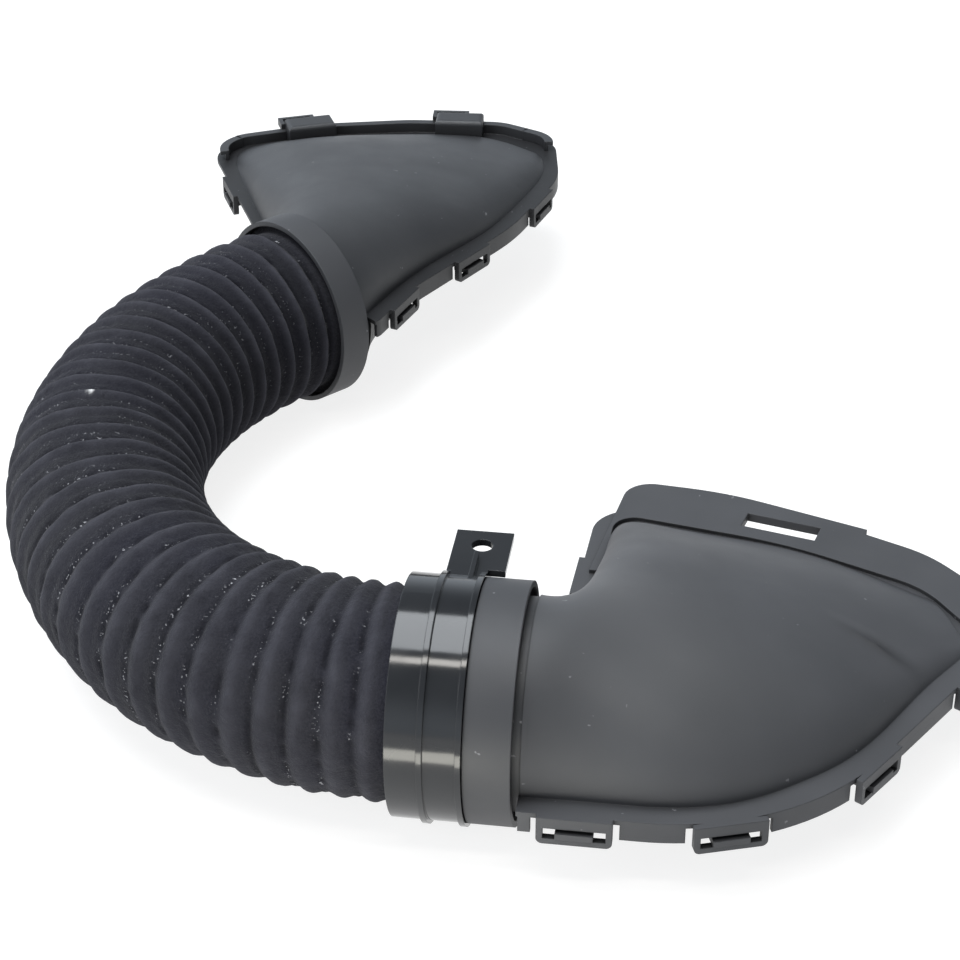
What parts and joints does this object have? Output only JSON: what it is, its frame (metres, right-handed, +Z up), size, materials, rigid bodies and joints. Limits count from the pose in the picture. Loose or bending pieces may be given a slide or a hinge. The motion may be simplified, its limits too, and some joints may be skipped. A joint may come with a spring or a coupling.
{
  "type": "air intake pipe",
  "caption": "Air intake pipe: a bent textile bellows hose between two flat snap-together plastic ducts, with a mounting ring and bracket.",
  "frame": {"origin": "bottom centre of the part's box, as it lies on a surface", "axes": "+Z up, +X along the axis of the mounting ring towards the near duct, +Y towards the far duct, its longest extent"},
  "size_m": [0.4654, 0.6362, 0.103],
  "materials": {
    "duct_plastic": "fine matte grain",
    "ring_plastic": "smooth gloss",
    "hose_textile": "woven textile over a ribbed tube"
  },
  "bodies": {
    "root": {"near_upper_shell": "duct_plastic", "near_lower_shell": "duct_plastic", "near_collar": "duct_plastic", "mounting_ring": "ring_plastic", "hose": "hose_textile", "far_collar": "duct_plastic", "far_upper_shell": "duct_plastic", "far_lower_shell": "duct_plastic"}
  },
  "joints": []
}
